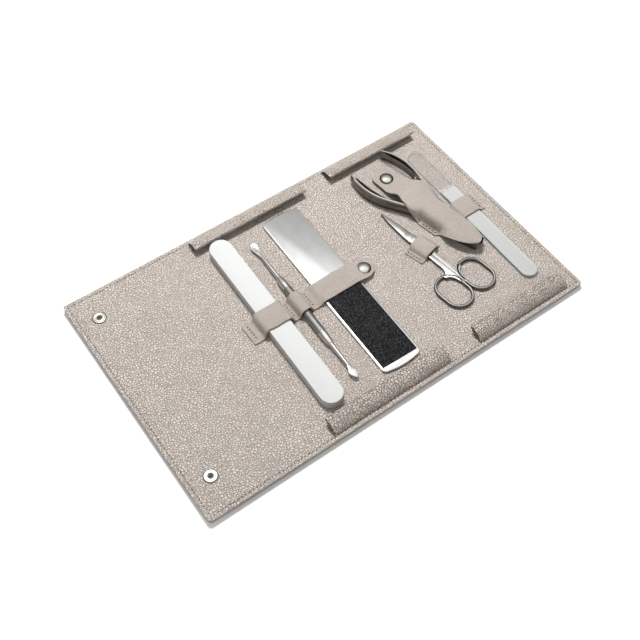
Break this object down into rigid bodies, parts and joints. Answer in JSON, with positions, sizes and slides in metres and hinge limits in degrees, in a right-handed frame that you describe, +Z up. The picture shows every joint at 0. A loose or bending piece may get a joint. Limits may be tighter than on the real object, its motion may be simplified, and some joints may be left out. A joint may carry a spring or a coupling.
{
  "type": "manicure set case",
  "caption": "Folding leather manicure case, open flat, with nail and foot files, cuticle pusher, scissors, nippers and glass file held by loops, snap straps and side flaps.",
  "frame": {"origin": "centre of the open case on the plane it lies on", "axes": "+X along the open case from the flap with the closing snaps to the panel with the scissors, +Y across the case towards the tools' upper ends, +Z up out of the lining"},
  "size_m": [0.31, 0.194, 0.0144],
  "materials": {
    "outer_leather": "pebbled matt",
    "lining_leather": "pebbled matt",
    "board": "matt",
    "nickel": "polished",
    "file_core": "foam",
    "white_abrasive": "gritty",
    "black_abrasive": "gritty, sparkling",
    "satin_steel": "satin",
    "knurled_steel": "knurled",
    "tool_steel": "polished",
    "frosted_glass": "frosted"
  },
  "bodies": {
    "middle": {"middle_panel_outer_leather": "outer_leather", "middle_panel_board": "board", "middle_panel_lining": "lining_leather", "file_strap": "lining_leather", "strap_snap_stud": "nickel"},
    "right_spine": {"right_spine_outer_leather": "outer_leather", "right_spine_lining": "lining_leather"},
    "right_panel": {"right_panel_outer_leather": "outer_leather", "right_panel_board": "board", "right_panel_lining": "lining_leather", "closing_snap_studs": "nickel", "scissors_loop": "lining_leather", "nipper_holster": "lining_leather", "holster_snap_stud": "nickel", "glass_file_loop": "lining_leather"},
    "left_spine": {"left_spine_outer_leather": "outer_leather", "left_spine_lining": "lining_leather"},
    "left_panel": {"left_panel_outer_leather": "outer_leather", "left_panel_board": "board", "left_panel_lining": "lining_leather", "closing_snap_caps": "nickel", "closing_snap_sockets": "nickel"},
    "middle_top_flap": {"middle_top_flap": "lining_leather"},
    "middle_bottom_flap": {"middle_bottom_flap": "lining_leather"},
    "right_top_flap": {"right_top_flap": "lining_leather"},
    "right_bottom_flap": {"right_bottom_flap": "lining_leather"},
    "strap_tongue": {"file_strap_tongue": "lining_leather", "strap_snap_cap": "nickel", "strap_snap_socket": "nickel"},
    "holster_tongue": {"nipper_holster_tongue": "lining_leather", "holster_snap_cap": "nickel", "holster_snap_socket": "nickel"},
    "nail_file": {"nail_file_core": "file_core", "nail_file_top_abrasive": "white_abrasive", "nail_file_bottom_abrasive": "white_abrasive"},
    "pusher": {"pusher_grip": "knurled_steel", "pusher_spoon_end": "tool_steel", "pusher_blade_end": "tool_steel"},
    "foot_file": {"foot_file_plate": "satin_steel", "foot_file_abrasive_pad": "black_abrasive"},
    "scissors_lower": {"scissors_lower_blade": "tool_steel", "scissors_pivot_screw": "tool_steel"},
    "scissors_upper": {"scissors_upper_blade": "tool_steel"},
    "nipper_right": {"nipper_right_lever": "tool_steel", "nipper_pivot_screw": "tool_steel", "nipper_leaf_springs_right": "tool_steel", "nipper_spring_screw_right": "tool_steel"},
    "nipper_left": {"nipper_left_lever": "tool_steel", "nipper_leaf_springs_left": "tool_steel", "nipper_spring_screw_left": "tool_steel"},
    "glass_file": {"glass_file": "frosted_glass"}
  },
  "joints": [
    {"name": "right_spine_fold", "type": "hinge", "parent": "middle", "child": "right_spine", "pos_m": [0.043, 0, 0.003], "axis": [0, -1, 0], "range_deg": [0, 90]},
    {"name": "right_panel_fold", "type": "hinge", "parent": "right_spine", "child": "right_panel", "pos_m": [0.0625, 0, 0.003], "axis": [0, -1, 0], "range_deg": [0, 90]},
    {"name": "left_spine_fold", "type": "hinge", "parent": "middle", "child": "left_spine", "pos_m": [-0.064, 0, 0.003], "axis": [0, 1, 0], "range_deg": [0, 90]},
    {"name": "left_panel_fold", "type": "hinge", "parent": "left_spine", "child": "left_panel", "pos_m": [-0.0874, 0, 0.003], "axis": [0, 1, 0], "range_deg": [0, 90]},
    {"name": "middle_bottom_flap_lift", "type": "hinge", "parent": "middle", "child": "middle_bottom_flap", "pos_m": [-0.01, -0.0936, 0.003], "axis": [-1, 0, 0], "range_deg": [-100, 0]},
    {"name": "middle_top_flap_lift", "type": "hinge", "parent": "middle", "child": "middle_top_flap", "pos_m": [-0.007, 0.0936, 0.003], "axis": [1, 0, 0], "range_deg": [-100, 0]},
    {"name": "right_bottom_flap_lift", "type": "hinge", "parent": "right_panel", "child": "right_bottom_flap", "pos_m": [0.103, -0.0936, 0.003], "axis": [-1, 0, 0], "range_deg": [-100, 0]},
    {"name": "right_top_flap_lift", "type": "hinge", "parent": "right_panel", "child": "right_top_flap", "pos_m": [0.103, 0.0936, 0.003], "axis": [1, 0, 0], "range_deg": [-100, 0]},
    {"name": "strap_tongue_lift", "type": "hinge", "parent": "middle", "child": "strap_tongue", "pos_m": [-0.00911, 0.00175, 0.00425], "axis": [0, 1, 0], "range_deg": [-120, 0]},
    {"name": "holster_tongue_lift", "type": "hinge", "parent": "right_panel", "child": "holster_tongue", "pos_m": [0.10269, 0.03111, 0.01435], "axis": [-0.9781, -0.2079, 0], "range_deg": [-100, 0]},
    {"name": "nail_file_slide", "type": "slide", "parent": "middle", "child": "nail_file", "axis": [0.0279, 0.9996, 0], "range_m": [-0.003, 0.0004]},
    {"name": "pusher_slide", "type": "slide", "parent": "middle", "child": "pusher", "axis": [0.0288, 0.9996, 0], "range_m": [-0.013, 0.013]},
    {"name": "foot_file_slide", "type": "slide", "parent": "middle", "child": "foot_file", "axis": [0.0192, 0.9998, 0], "range_m": [-0.0025, 0.0025]},
    {"name": "scissors_slide", "type": "slide", "parent": "right_panel", "child": "scissors_lower", "axis": [-0.1305, 0.9914, 0], "range_m": [-0.013, 0.005]},
    {"name": "scissors_open", "type": "hinge", "parent": "scissors_lower", "child": "scissors_upper", "pos_m": [0.0798, 0.0009, 0.005], "axis": [0, 0, 1], "range_deg": [0, 6]},
    {"name": "nipper_slide", "type": "slide", "parent": "right_panel", "child": "nipper_right", "axis": [-0.2079, 0.9781, 0], "range_m": [-0.001, 0.001]},
    {"name": "nipper_squeeze", "type": "hinge", "parent": "nipper_right", "child": "nipper_left", "pos_m": [0.1083, 0.0047, 0.008], "axis": [0, 0, 1], "range_deg": [-10, 0]},
    {"name": "glass_file_slide", "type": "slide", "parent": "right_panel", "child": "glass_file", "axis": [0.0052, 1, 0], "range_m": [-0.008, 0.01]}
  ],
  "couplings": [
    {"joint": "right_panel_fold", "follows": "right_spine_fold", "ratio": 1},
    {"joint": "left_panel_fold", "follows": "left_spine_fold", "ratio": 1}
  ]
}
